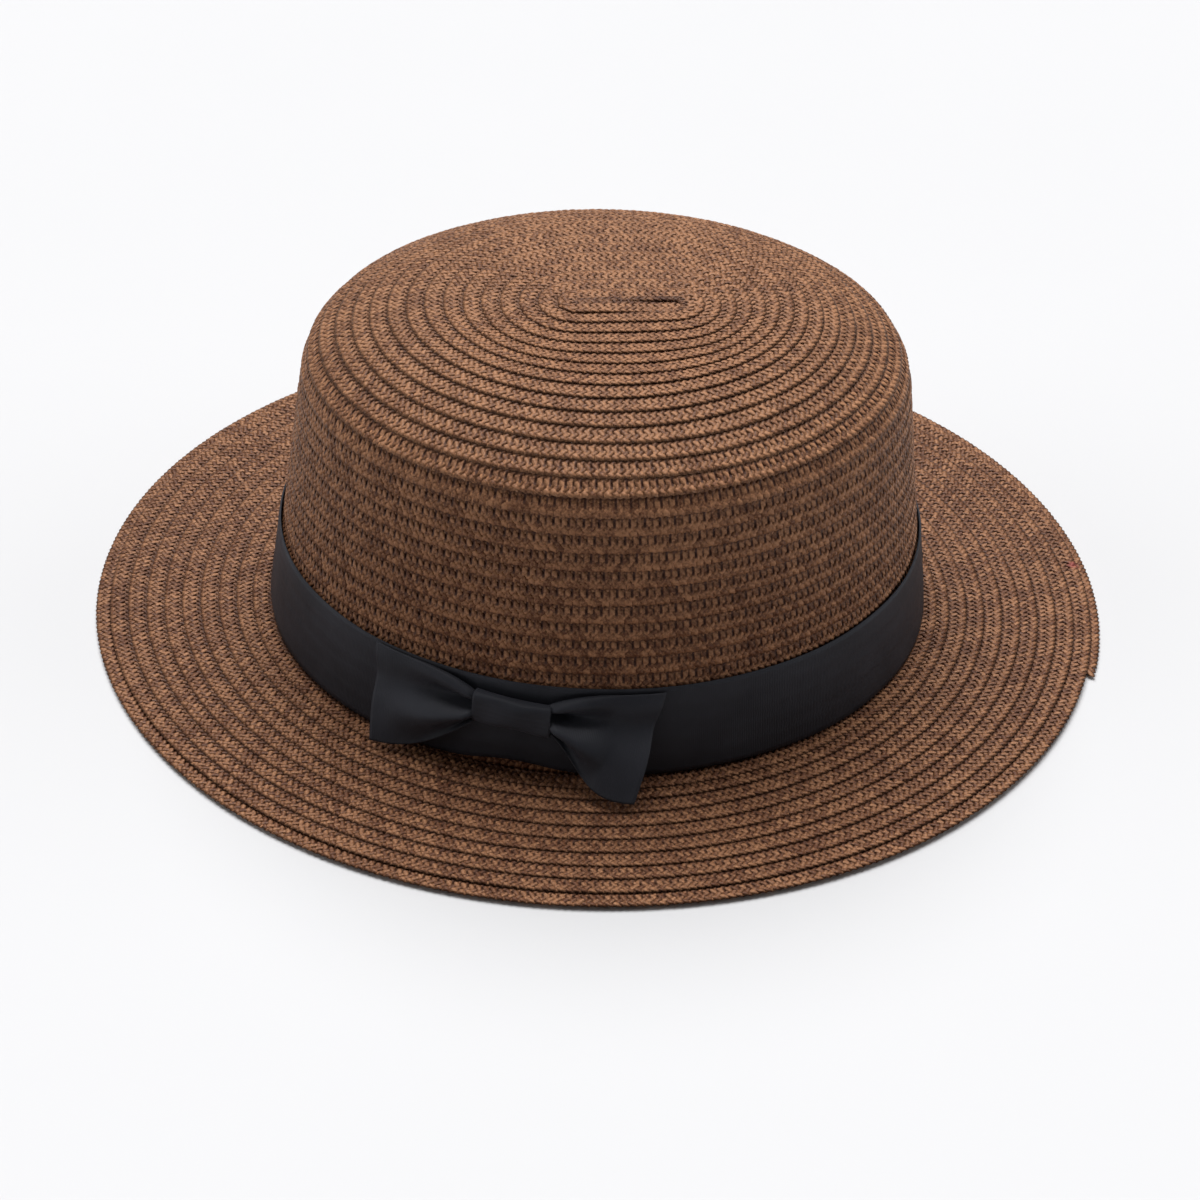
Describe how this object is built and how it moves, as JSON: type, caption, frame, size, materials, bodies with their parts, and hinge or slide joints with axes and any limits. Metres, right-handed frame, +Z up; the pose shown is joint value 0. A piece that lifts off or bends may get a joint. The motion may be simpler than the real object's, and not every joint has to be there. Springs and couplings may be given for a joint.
{
  "type": "straw boater hat",
  "caption": "Brown straw boater hat with a domed oval crown, a flat brim and a dark ribbon band tied in a flat bow at the front.",
  "frame": {"origin": "middle of the brim, on the surface that the hat rests on", "axes": "+X along the long axis of the head oval, -Y towards the side with the bow, +Z up through the crown"},
  "size_m": [0.307, 0.29, 0.1032],
  "materials": {
    "straw_braid": "plaited paper straw, matt with a slight sheen",
    "ribbon": "black ribbon, fine cross rib, soft satin"
  },
  "bodies": {
    "root": {"crown_top": "straw_braid", "crown_side": "straw_braid", "brim": "straw_braid", "hat_band": "ribbon", "bow_knot": "ribbon", "bow_wing_left": "ribbon", "bow_wing_right": "ribbon"}
  },
  "joints": []
}
